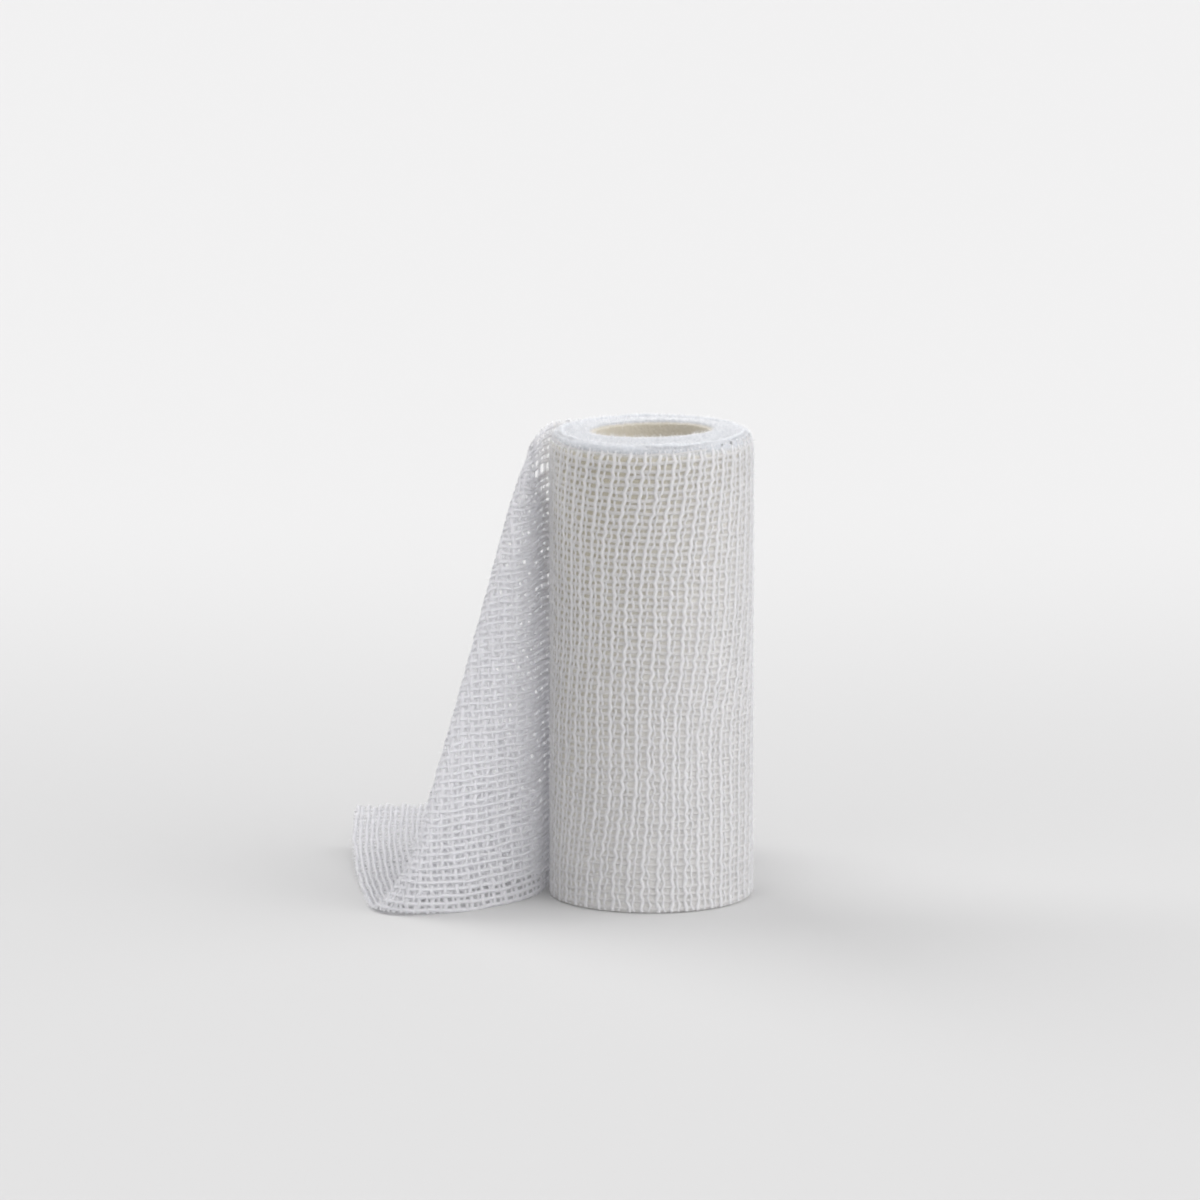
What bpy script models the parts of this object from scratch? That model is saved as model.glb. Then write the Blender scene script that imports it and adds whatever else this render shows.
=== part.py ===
"""A cohesive bandage: one strip of open-weave gauze, wound into a hollow roll that stands on its end.

The roll has no core. Its free end leaves it at the back left, comes forward, is turned over along a
slanting fold, hangs down behind itself and lies out on the floor as a flap with its cut end raised.

Lengths in this file are in millimetres, measured from the middle of the roll's base, with X to the
right, Y to the back and Z up. They become metres where a mesh is made. The whole bandage is then
placed with the middle of its outline over the world's origin.
"""
import math
from dataclasses import dataclass

import bmesh
import bpy
import numpy as np

MM = 0.001

# The strip
STRIP_WIDTH = 100.0        # a common 10 cm bandage; it is the roll's height too
TURN_THICKNESS = 0.55      # one turn of gauze as it lies in the roll

# The roll
ROLL_RADIUS = 21.85        # over the outer turn, between the ribs' tops and their valleys
BORE_RADIUS = 12.35
RIM_ROUND = 1.7            # outer edge of each end, soft because the turns' selvedges spread there
LIP_ROUND = 1.1            # edge of the bore
END_TURNS = 3              # shallow rings that the wound selvedges make on an end face
END_TURN_DEPTH = 0.16
RIB_COUNT = 44             # bold cross threads round the roll, about 3.1 mm apart
RIB_HEIGHT = 0.15          # above and below the mean radius
RIB_LEAN = 5.0             # millimetres that a rib's top lies round from its foot
RIB_WAVE = 0.35            # sideways waver of a rib
STEPS_PER_RIB = 2
BORE_STEPS = 44

# The loose end
TAIL_THICKNESS = 1.0
TAIL_GAP = 0.35            # clear space between the loose end and the roll
RIDGE_SOFTNESS = 2.6       # how far the slanting fold is rounded along a section
TURN_SOFTNESS = 5.0        # the same where the hanging layer turns out onto the floor
LEG_SPREAD = 16.0          # how far from the fold its two legs come back to their own lines
TAIL_COLUMNS = 48          # sections along the strip
TAIL_ROWS = 26             # points across it
SETTLING = 2               # rounds of easing each point towards the mean of its neighbours
ROW_CROWDING = 1.35        # above 1 draws a section's points towards its fold
FLOOR_GAP = 0.05           # lowest the cloth's underside lies where it is flat on the floor

GAUZE_WHITE = (0.80, 0.81, 0.82, 1.0)
GAUZE_ROUGHNESS = 0.9


@dataclass(frozen=True)
class Section:
    """One cross section of the loose end, from the strip's lower selvedge to its upper one.

    along: distance from the line where the strip leaves the roll.
    edge, fold, top: where the lower selvedge, the fold and the upper selvedge are.
    fold_at: how far across the strip the fold lies.
    front, back: how far the cloth swells out midway between edge and fold, and fold and top.

    The fold is the slanting ridge up to about 56 along. From there it is the line on the floor
    where the hanging layer meets the flap.
    """

    along: float
    edge: tuple
    fold: tuple
    top: tuple
    fold_at: float
    front: tuple
    back: tuple


@dataclass(frozen=True)
class Crease:
    """A soft trough or ridge of the loose end, between two places on the flat strip.

    start, end: (along, across) on the flat strip. height: above its surface, below if negative.
    spread: half its width.
    """

    start: tuple
    end: tuple
    height: float
    spread: float


SECTIONS = (
    Section(0, (-21.1, 8.7, 0), (-21.1, 8.7, 93), (-21.1, 8.6, 100), 93, (0, 0, 0), (0, 0, 0)),
    Section(5, (-22.6, 3.7, 0), (-23.2, 3.6, 93), (-22.9, 4.4, 99.8), 93, (0, 0, 0), (0, 0, 0)),
    Section(10, (-23.6, -1.2, 0), (-25.2, -2.2, 92), (-24.7, 0.1, 98.7), 92, (0, -.2, 0), (0, 0, 0)),
    Section(14, (-25.6, -5.4, 0), (-28.4, -6.8, 86), (-26.4, 0.8, 94.9), 86, (0, -.5, 0), (-.5, .4, .8)),
    Section(20, (-29.6, -10.5, 0), (-33.3, -10.5, 71), (-25.6, 5.2, 90), 71, (0, -.8, 0), (-1.2, 1.4, 0)),
    Section(28, (-35.4, -16.2, 0), (-38.6, -13.8, 54), (-22.4, 11.4, 83.6), 54, (0, -.9, 0), (-1.6, 2.2, -1)),
    Section(36, (-42, -20.8, 0), (-43.6, -16.7, 37.5), (-19, 16.3, 77.4), 38, (0, -1, 0), (-2.4, 3.8, -3)),
    Section(44, (-49.5, -23.4, 0), (-48.3, -19.2, 21.5), (-15.6, 21, 71.2), 22, (0, -.8, 0), (-3.2, 5.8, -4)),
    Section(50, (-55, -23.4, 0), (-51.6, -20.4, 10), (-12.8, 24, 66.5), 10.5, (0, -.4, 0), (-3.4, 6.4, -6)),
    Section(56, (-59.4, -20.6, 0.2), (-56.4, -19.8, 3), (-10.2, 26.8, 62), 4, (0, 0, 0), (-4, 6, -7)),
    Section(60, (-60.6, -16.8, 0.6), (-54.8, -16.8, 1.8), (-8.5, 28.6, 59), 6, (0, 0, 0), (-4, 5.4, -7)),
    Section(66, (-61.4, -11, 0.6), (-47.5, -12, 0.8), (-6.3, 31.4, 54), 15, (0, 0, 0), (-4.6, 5, -6)),
    Section(74, (-62.2, -3, 0.7), (-37.4, -4.2, 0.8), (-3.3, 35.3, 47.6), 28, (0, 0, 0), (-4.6, 4, -5)),
    Section(82, (-63, 5, 0.9), (-28, 9.2, 0.8), (-0.2, 38.9, 40.8), 41, (0, 0, 0.2), (-2.5, 2.8, -3)),
    Section(90, (-63.7, 13, 1.4), (-18.5, 21, 0.8), (3, 42.5, 34), 55, (0, 0, 0.4), (-1.5, 1.5, -2)),
    Section(98, (-64.3, 21, 2.2), (-7.5, 32, 1), (6.1, 45.9, 26.7), 68, (0, -1, 1.2), (0, 0, -1)),
    Section(108, (-64.7, 31, 3.9), (4, 43, 1.8), (10, 50, 18), 84, (0, -1.6, 1.6), (0, 0, -.5)),
    Section(116, (-64.7, 38.6, 6), (9, 47.5, 3.4), (13, 52.8, 12.8), 90, (0, -2, 1.6), (0, 0, 0)),
    Section(124, (-64.4, 45.6, 8.8), (12, 51.5, 7), (15.5, 55, 10.2), 93, (0, -2.4, 1), (0, 0, 0)),
)

CREASES = (
    Crease((30, 20), (16, 62), -0.9, 3.0),     # two troughs and a ridge that run down beside the fold
    Crease((40, 12), (24, 46), 0.7, 3.0),
    Crease((46, 8), (36, 30), -0.8, 2.4),
    Crease((12, 30), (6, 80), 0.5, 3.5),
    Crease((70, 62), (28, 92), 1.5, 6.0),      # the hanging layer's long soft swell and hollow
    Crease((58, 36), (40, 70), -1.5, 6.0),
    Crease((96, 44), (124, 40), 2.2, 7.0),     # waves across the flap, behind the hanging layer
    Crease((100, 62), (124, 60), -2.0, 6.5),
    Crease((104, 78), (124, 77), 1.8, 6.0),
    Crease((66, 5), (100, 14), -0.3, 4.0),
)


def smooth_through(stations: list, values: list, wanted: np.ndarray) -> np.ndarray:
    """Return a smooth curve through values at the stations, read at the wanted stations."""
    x = np.asarray(stations, float)
    y = np.asarray(values, float).reshape(len(x), -1)
    gap = np.diff(x)[:, None]
    rise = np.diff(y, axis=0) / gap
    slope = np.vstack([rise[:1], (rise[:-1] * gap[1:] + rise[1:] * gap[:-1]) / (gap[1:] + gap[:-1]), rise[-1:]])
    k = np.clip(np.searchsorted(x, wanted) - 1, 0, len(x) - 2)
    u = ((wanted - x[k]) / gap[k, 0])[:, None]
    return ((1 + 2 * u) * (1 - u) ** 2 * y[k] + u * (1 - u) ** 2 * gap[k] * slope[k]
            + u * u * (3 - 2 * u) * y[k + 1] + u * u * (u - 1) * gap[k] * slope[k + 1])


def bowed_leg(u: np.ndarray, start: np.ndarray, middle: np.ndarray, end: np.ndarray) -> np.ndarray:
    """Return points on the parabola from start to end by way of middle, u from 0 to 1."""
    u = u[:, None]
    return start * (2 * (u - 0.5) * (u - 1)) + middle * (4 * u * (1 - u)) + end * (2 * u * (u - 0.5))


def rows_across(fold_at: float, rows: int) -> np.ndarray:
    """Return where a section's points lie across the strip: closest together near its fold."""
    front = rows // 2
    u = np.linspace(0, 1, front + 1)
    v = np.linspace(0, 1, rows - front)
    return np.concatenate([fold_at * (1 - (1 - u[:-1]) ** ROW_CROWDING),
                           fold_at + (STRIP_WIDTH - fold_at) * v ** ROW_CROWDING])


def rounded_section(edge: np.ndarray, front: np.ndarray, fold: np.ndarray, back: np.ndarray,
                    top: np.ndarray, fold_at: float, fold_way: np.ndarray, softness: float,
                    across: np.ndarray) -> np.ndarray:
    """Return one section of the cloth: two bowed legs that meet in a softly rounded fold.

    fold_way is the direction in which the fold itself runs, which the section crosses aslant.
    """
    margin, step = 20.0, 0.25
    fine = np.arange(-margin, STRIP_WIDTH + margin + step, step)
    inside = np.clip(fine, 0, STRIP_WIDTH)
    rest = STRIP_WIDTH - fold_at
    line = np.where((fine <= fold_at)[:, None],
                    bowed_leg(inside / fold_at, edge, front, fold),
                    bowed_leg((inside - fold_at) / rest, fold, back, top))
    # past each selvedge the line runs on straight, so that rounding leaves the selvedge in place
    first = min(fold_at, 4.0)
    last = min(rest, 3.0)
    near_edge = bowed_leg(np.array([first / fold_at]), edge, front, fold)[0]
    near_top = bowed_leg(np.array([1 - last / rest]), fold, back, top)[0]
    below, above = fine < 0, fine > STRIP_WIDTH
    line[below] = edge + (edge - near_edge) / first * -fine[below][:, None]
    line[above] = top + (top - near_top) / last * (fine[above] - STRIP_WIDTH)[:, None]
    reach = int(3.5 * softness / step)
    bell = np.exp(-0.5 * (np.arange(-reach, reach + 1) * step / softness) ** 2)
    bell /= bell.sum()
    soft = np.stack([np.convolve(np.pad(line[:, k], reach, mode="edge"), bell, "valid") for k in range(3)], 1)
    # seen along the fold, a sharp turn is opened into a round one: its two legs stand apart
    legs = (bowed_leg(np.array([max(0.0, 1 - 6 / fold_at), 1.0]), edge, front, fold),
            bowed_leg(np.array([0.0, min(1.0, 6 / rest)]), fold, back, top))
    ways = [(leg[1] - leg[0]) / np.linalg.norm(leg[1] - leg[0]) for leg in legs]
    square = [way - way.dot(fold_way) * fold_way for way in ways]
    slant = np.linalg.norm(square[0])
    outward = sum(way / max(np.linalg.norm(way), 1e-6) for way in square)
    openness = np.linalg.norm(outward) / 2
    room = min(1.0, fold_at / 12, rest / 12)
    gap = (1 - min(openness, 1.0)) * softness * slant * 1.25 * room
    off = fine - fold_at
    apart = np.tanh(off / (0.8 * softness)) * np.exp(-(off / LEG_SPREAD) ** 2) * gap
    soft += outward / max(2 * openness, 1e-6) * apart[:, None]
    return np.stack([np.interp(across, fine, soft[:, k]) for k in range(3)], 1)


def surface_normals(grid: np.ndarray) -> np.ndarray:
    """Return the unit normal at each point of a (sections, rows, 3) grid."""
    normal = np.cross(np.gradient(grid, axis=0), np.gradient(grid, axis=1))
    return normal / np.maximum(np.linalg.norm(normal, axis=2, keepdims=True), 1e-9)


def tail_surface(columns: int, rows: int) -> np.ndarray:
    """Return the loose end's middle surface as a (columns, rows, 3) grid of points."""
    stations = [row.along for row in SECTIONS]
    along = np.linspace(stations[0], stations[-1], columns)

    def column(name: str) -> np.ndarray:
        return smooth_through(stations, [getattr(row, name) for row in SECTIONS], along)

    edge, fold, top, fold_at = column("edge"), column("fold"), column("top"), column("fold_at")[:, 0]
    fold_at = np.clip(fold_at, 2.5, 97.0)
    front = (edge + fold) / 2 + column("front")
    back = (fold + top) / 2 + column("back")
    softness = RIDGE_SOFTNESS + (TURN_SOFTNESS - RIDGE_SOFTNESS) * np.clip((along - 58) / 22, 0, 1)
    across = np.stack([rows_across(at, rows) for at in fold_at])
    fold_way = np.gradient(fold, axis=0)
    fold_way /= np.linalg.norm(fold_way, axis=1, keepdims=True)
    grid = np.stack([rounded_section(edge[i], front[i], fold[i], back[i], top[i], fold_at[i], fold_way[i],
                                     softness[i], across[i]) for i in range(columns)])
    normal = surface_normals(grid)
    s, t = np.repeat(along[:, None], rows, axis=1), across
    for crease in CREASES:
        ds, dt = crease.end[0] - crease.start[0], crease.end[1] - crease.start[1]
        length = math.hypot(ds, dt)
        way = ((s - crease.start[0]) * ds + (t - crease.start[1]) * dt) / length
        aside = ((t - crease.start[1]) * ds - (s - crease.start[0]) * dt) / length
        past = np.maximum(0, np.maximum(-way, way - length))
        swell = np.exp(-(aside / crease.spread) ** 2) * np.exp(-(past / (2 * crease.spread)) ** 2)
        grid += normal * (crease.height * swell)[..., None]
    for _ in range(SETTLING):
        mean = (grid[:-2, 1:-1] + grid[2:, 1:-1] + grid[1:-1, :-2] + grid[1:-1, 2:]) / 4
        grid[1:-1, 1:-1] += (mean - grid[1:-1, 1:-1]) / 2
    # nothing comes nearer to the roll than the gap allows, nor under the floor
    radius = np.hypot(grid[..., 0], grid[..., 1])
    nearest = ROLL_RADIUS + RIB_HEIGHT + TAIL_GAP + TAIL_THICKNESS / 2
    grid[..., :2] *= np.maximum(1, nearest / radius)[..., None]
    lowest = np.abs(surface_normals(grid)[..., 2]) * (TAIL_THICKNESS / 2 + FLOOR_GAP)
    grid[..., 2] = np.maximum(grid[..., 2], lowest)
    return grid


def link_mesh(name: str, bm: bmesh.types.BMesh, parent: bpy.types.Object,
              material: bpy.types.Material) -> bpy.types.Object:
    """Turn a bmesh in millimetres into a named object in metres under the parent."""
    bmesh.ops.scale(bm, vec=(MM, MM, MM), verts=bm.verts)
    bmesh.ops.recalc_face_normals(bm, faces=bm.faces)
    mesh = bpy.data.meshes.new(name)
    bm.to_mesh(mesh)
    bm.free()
    mesh.shade_smooth()
    mesh.set_sharp_from_angle(angle=math.radians(50))
    mesh.materials.append(material)
    obj = bpy.data.objects.new(name, mesh)
    bpy.context.collection.objects.link(obj)
    obj.parent = parent
    return obj


def gauze(name: str) -> bpy.types.Material:
    """Return the material of white cotton gauze, which is matt all over."""
    material = bpy.data.materials.new(name)
    material.use_nodes = True
    shader = material.node_tree.nodes["Principled BSDF"]
    shader.inputs["Base Color"].default_value = GAUZE_WHITE
    shader.inputs["Roughness"].default_value = GAUZE_ROUGHNESS
    shader.inputs["Metallic"].default_value = 0.0
    return material


def tail_mesh() -> bmesh.types.BMesh:
    """Give the loose end's middle surface its thickness and close it round its border."""
    grid = tail_surface(TAIL_COLUMNS, TAIL_ROWS)
    half = surface_normals(grid) * TAIL_THICKNESS / 2
    bm = bmesh.new()
    sides = []
    for offset in (half, -half):
        points = grid + offset
        points[..., 2] = np.maximum(points[..., 2], 0.0)
        sides.append([[bm.verts.new(p) for p in column] for column in points])
    for i in range(TAIL_COLUMNS - 1):
        for j in range(TAIL_ROWS - 1):
            for side in sides:
                bm.faces.new((side[i][j], side[i + 1][j], side[i + 1][j + 1], side[i][j + 1]))
    border = ([(i, 0) for i in range(TAIL_COLUMNS)]
              + [(TAIL_COLUMNS - 1, j) for j in range(1, TAIL_ROWS)]
              + [(i, TAIL_ROWS - 1) for i in range(TAIL_COLUMNS - 2, -1, -1)]
              + [(0, j) for j in range(TAIL_ROWS - 2, 0, -1)])
    for (a, b), (c, d) in zip(border, border[1:] + border[:1]):
        bm.faces.new((sides[0][a][b], sides[0][c][d], sides[1][c][d], sides[1][a][b]))
    return bm


def roll_profile() -> list:
    """Return the roll's half section as (kind, radius, height), from the bore's foot round to its top.

    kind says what shapes that ring: bore, lip, end, rim or side.
    """
    def corner(radius: float, height: float, size: float, start: float, kind: str) -> list:
        return [(kind, radius + size * math.cos(math.radians(start + a)),
                 height + size * math.sin(math.radians(start + a))) for a in (0, 45, 90)]

    inner, outer, top = BORE_RADIUS, ROLL_RADIUS, STRIP_WIDTH
    end_radii = [inner + LIP_ROUND + (outer - RIM_ROUND - inner - LIP_ROUND) * k / (2 * END_TURNS)
                 for k in range(1, 2 * END_TURNS)]
    ends = [("end" if k % 2 == 0 else "flat", radius) for k, radius in enumerate(end_radii)]
    profile = corner(inner + LIP_ROUND, LIP_ROUND, LIP_ROUND, 180, "lip")
    profile += [("flat", radius, 0.0) for _, radius in ends[1::2]]
    profile += corner(outer - RIM_ROUND, RIM_ROUND, RIM_ROUND, 270, "rim")
    profile += [("side", outer, STRIP_WIDTH * k / 8) for k in range(1, 8)]
    profile += corner(outer - RIM_ROUND, top - RIM_ROUND, RIM_ROUND, 0, "rim")
    profile += [(kind, radius, top) for kind, radius in reversed(ends)]
    profile += corner(inner + LIP_ROUND, top - LIP_ROUND, LIP_ROUND, 90, "lip")
    profile += [("bore", inner, STRIP_WIDTH * k / 4) for k in (3, 2, 1)]
    return profile


def roll_mesh() -> bmesh.types.BMesh:
    """Wind the roll's half section round its axis, with leaning ribs on its side."""
    steps = RIB_COUNT * STEPS_PER_RIB
    bm = bmesh.new()
    rings = []
    for kind, radius, height in roll_profile():
        ring = []
        lean = RIB_LEAN * max(0.0, height / STRIP_WIDTH - 0.25) / 0.75
        waver = RIB_WAVE * math.sin(height * 0.31)
        for k in range(steps):
            angle = 2 * math.pi * k / steps
            r, z = radius, height
            if kind == "side":
                # a rib's top leans to the right as seen from the front
                angle += (lean + waver) / ROLL_RADIUS
                r += RIB_HEIGHT * (1 if k % STEPS_PER_RIB == 0 else -1)
            elif kind == "rim":
                angle += lean / ROLL_RADIUS
            elif kind == "end":
                # the wound selvedges stand a little lower along these rings, unevenly
                z -= END_TURN_DEPTH * (1 + 0.5 * math.sin(3 * angle + radius))
            elif kind == "bore":
                r += 0.12 * math.sin(5 * angle + height * 0.05)
            ring.append(bm.verts.new((r * math.cos(angle), r * math.sin(angle), z)))
        rings.append(ring)
    for lower, upper in zip(rings, rings[1:] + rings[:1]):
        for k in range(steps):
            n = (k + 1) % steps
            bm.faces.new((lower[k], lower[n], upper[n], upper[k]))
    return bm


def build() -> None:
    """Make the roll and its loose end, centred over the world's origin and standing on its floor."""
    for obj in list(bpy.data.objects):
        bpy.data.objects.remove(obj, do_unlink=True)
    bandage = bpy.data.objects.new("bandage", None)
    bpy.context.collection.objects.link(bandage)
    pieces = [link_mesh("roll", roll_mesh(), bandage, gauze("gauze roll")),
              link_mesh("tail", tail_mesh(), bandage, gauze("gauze tail"))]
    points = np.array([v.co for piece in pieces for v in piece.data.vertices])
    middle = (points.min(axis=0) + points.max(axis=0)) / 2
    bandage.location = (-middle[0], -middle[1], -points[:, 2].min())


build()
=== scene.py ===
"""Cohesive bandage: a strip of white open-weave gauze, wound into a hollow roll that stands on its end.

The strip is one surface. Along it, s runs from the inner turns to the cut end: below 0 it is wound
on the roll, and from 0 to 124 it is the loose end, which is folded over and laid out on the floor.
Across it, t runs from the lower selvedge, 0, to the upper one, 100. Its threads are laid on that
surface, so that the paths of the outer turn's threads run on into the loose end.

Lengths are in millimetres from the middle of the roll's base, and become metres where a mesh is made.
"""
import logging
import math
from dataclasses import dataclass, field
from enum import Enum
from functools import partial

import bpy
import numpy as np
from bpy.types import ID, Material, Mesh, Node, NodeSocket, NodeTree, Object
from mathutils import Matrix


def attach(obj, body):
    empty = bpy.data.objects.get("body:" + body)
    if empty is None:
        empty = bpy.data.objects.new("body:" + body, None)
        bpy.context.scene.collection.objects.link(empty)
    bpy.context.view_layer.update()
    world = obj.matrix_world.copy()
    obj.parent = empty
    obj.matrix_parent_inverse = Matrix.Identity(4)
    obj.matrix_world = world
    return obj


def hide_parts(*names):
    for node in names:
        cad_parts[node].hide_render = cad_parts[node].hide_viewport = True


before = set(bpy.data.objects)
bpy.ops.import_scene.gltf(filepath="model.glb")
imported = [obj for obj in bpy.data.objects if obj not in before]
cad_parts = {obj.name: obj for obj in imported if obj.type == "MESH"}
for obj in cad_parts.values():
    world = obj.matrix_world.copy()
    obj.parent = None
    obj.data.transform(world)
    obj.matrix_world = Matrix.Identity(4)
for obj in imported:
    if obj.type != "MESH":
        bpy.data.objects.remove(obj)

Array = np.ndarray

LOG = logging.getLogger("bandage")
MM = 0.001
AXIS = (21.374, -15.533, 0.0)      # the roll's axis in the frame's own axes
STRIP_WIDTH = 100.0
FREE_LENGTH = 124.0
TURN = 2 * math.pi * 21.85         # length of the outer turn
PAIRS_ROUND = 44                   # pairs of cross threads in it
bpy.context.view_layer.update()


# ---------------------------------------------------------------- small helpers

def linear(colour: str) -> tuple[float, float, float, float]:
    """Turn a colour into what a shader socket takes.

    Args:
        colour: sRGB as six hex digits.

    Returns:
        Linear red, green, blue and an alpha of 1.
    """
    parts = [int(colour[k:k + 2], 16) / 255 for k in (0, 2, 4)]
    return tuple(c / 12.92 if c <= 0.04045 else ((c + 0.055) / 1.055) ** 2.4 for c in parts) + (1.0,)


def add_node(tree: NodeTree, kind: str, inputs: dict | None = None, **settings) -> Node:
    """Add a node with its settings and its inputs.

    Args:
        tree: shader or geometry tree that gets it.
        kind: the node's type name.
        inputs: for each input, by name or by number, a value, another node's output socket, or a
            node, which stands for its first output.
        settings: the node's own properties.

    Returns:
        The new node.
    """
    node = tree.nodes.new(kind)
    for name, value in settings.items():
        setattr(node, name, value)
    for key, value in (inputs or {}).items():
        if isinstance(value, Node):
            value = value.outputs[0]
        if isinstance(value, NodeSocket):
            tree.links.new(value, node.inputs[key])
        else:
            node.inputs[key].default_value = value
    return node


def add_object(name: str, data: ID) -> Object:
    """Add an object with this data to the scene and return it."""
    thing = bpy.data.objects.new(name, data)
    bpy.context.collection.objects.link(thing)
    return thing


def start_material(name: str, values: dict) -> tuple[Material, Node]:
    """Start a material.

    Args:
        name: the material's name.
        values: what its shader's inputs are set to, by name.

    Returns:
        The material and its shader.
    """
    material = bpy.data.materials.new(name)
    material.use_nodes = True
    shader = material.node_tree.nodes["Principled BSDF"]
    for title, value in values.items():
        shader.inputs[title].default_value = value
    return material, shader


def start_tree(name: str, inputs: dict[str, str]) -> tuple[NodeTree, dict[str, str]]:
    """Start a tree of geometry nodes.

    Args:
        name: the tree's name.
        inputs: the kind of each input, by name.

    Returns:
        The tree, and its inputs' identifiers by name.
    """
    tree = bpy.data.node_groups.new(name, "GeometryNodeTree")
    for title, kind in inputs.items():
        tree.interface.new_socket(title, in_out="INPUT", socket_type=f"NodeSocket{kind}")
    tree.interface.new_socket("Result", in_out="OUTPUT", socket_type="NodeSocketGeometry")
    return tree, {item.name: item.identifier for item in tree.interface.items_tree if item.in_out == "INPUT"}


def end_tree(tree: NodeTree, shape: Node, finish: NodeSocket) -> None:
    """End a tree of geometry nodes.

    Args:
        tree: the tree.
        shape: the node whose geometry it makes real, smooth and dressed.
        finish: the material that it gets.
    """
    add = partial(add_node, tree)
    real = add("GeometryNodeRealizeInstances", {"Geometry": shape})
    smooth = add("GeometryNodeSetShadeSmooth", {"Geometry": real, "Shade Smooth": True})
    dressed = add("GeometryNodeSetMaterial", {"Geometry": smooth, "Material": finish})
    add("NodeGroupOutput", {0: dressed})


def run_tree(tree: NodeTree, sockets: dict[str, str], mesh: Mesh, values: dict) -> Mesh:
    """Run a tree of geometry nodes on a mesh, which is used up.

    Args:
        tree, sockets: the tree and its inputs' identifiers by name.
        mesh: what it starts from.
        values: what each input gets, by name.

    Returns:
        A plain mesh in metres.
    """
    holder = add_object(tree.name, mesh)
    modifier = holder.modifiers.new(tree.name, "NODES")
    modifier.node_group = tree
    for name, value in values.items():
        modifier[sockets[name]] = value
    result = bpy.data.meshes.new_from_object(holder.evaluated_get(bpy.context.evaluated_depsgraph_get()))
    bpy.data.objects.remove(holder, do_unlink=True)
    bpy.data.meshes.remove(mesh)
    return result


def smooth_step(x: Array) -> Array:
    """Return 0 below 0, 1 above 1 and a soft rise between."""
    x = np.clip(x, 0.0, 1.0)
    return x * x * (3 - 2 * x)


def smooth_through(stations: Array, values: Array, wanted: Array) -> Array:
    """Draw a smooth curve through values.

    Args:
        stations: where each value is, rising.
        values: one row for each station.
        wanted: where the curve is read.

    Returns:
        One row for each wanted place.
    """
    x = np.asarray(stations, float)
    y = np.asarray(values, float).reshape(len(x), -1)
    gap = np.diff(x)[:, None]
    rise = np.diff(y, axis=0) / gap
    inner = (rise[:-1] * gap[1:] + rise[1:] * gap[:-1]) / (gap[1:] + gap[:-1])
    slope = np.vstack([rise[:1], inner, rise[-1:]])
    k = np.clip(np.searchsorted(x, wanted) - 1, 0, len(x) - 2)
    u = ((wanted - x[k]) / gap[k, 0])[:, None]
    return ((1 + 2 * u) * (1 - u) ** 2 * y[k] + u * (1 - u) ** 2 * gap[k] * slope[k]
            + u * u * (3 - 2 * u) * y[k + 1] + u * u * (u - 1) * gap[k] * slope[k + 1])


@dataclass(frozen=True)
class Drift:
    """A soft random field over the strip, the same in every run.

    seed: picks the field. shortest, longest: wavelengths in millimetres. waves: how many are summed.
    """

    seed: int
    shortest: float
    longest: float
    waves: int = 12

    def at(self, s: Array, t: Array) -> Array:
        """Return the field at places on the strip, mostly between -1 and 1."""
        rng = np.random.default_rng(self.seed)
        total = np.zeros(np.broadcast(s, t).shape)
        for _ in range(self.waves):
            length = rng.uniform(self.shortest, self.longest)
            way, phase = rng.uniform(0, 2 * math.pi, 2)
            total += np.sin(2 * math.pi / length * (s * math.cos(way) + t * math.sin(way)) + phase)
        return total / math.sqrt(self.waves / 2) / 1.5


# ---------------------------------------------------------------- the strip's surface

@dataclass(frozen=True)
class Section:
    """One cross section of the loose end, from the strip's lower selvedge to its upper one.

    along: distance from the line where the strip leaves the roll. edge, fold, top: where the lower
    selvedge, the fold and the upper selvedge are. fold_at: how far across the strip the fold lies.
    front, back: how far the cloth swells out midway between edge and fold, and fold and top.
    """

    along: float
    edge: tuple
    fold: tuple
    top: tuple
    fold_at: float
    front: tuple
    back: tuple


@dataclass(frozen=True)
class Crease:
    """A soft trough or ridge between two places on the flat strip: its height and half its width."""

    start: tuple
    end: tuple
    height: float
    spread: float


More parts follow.
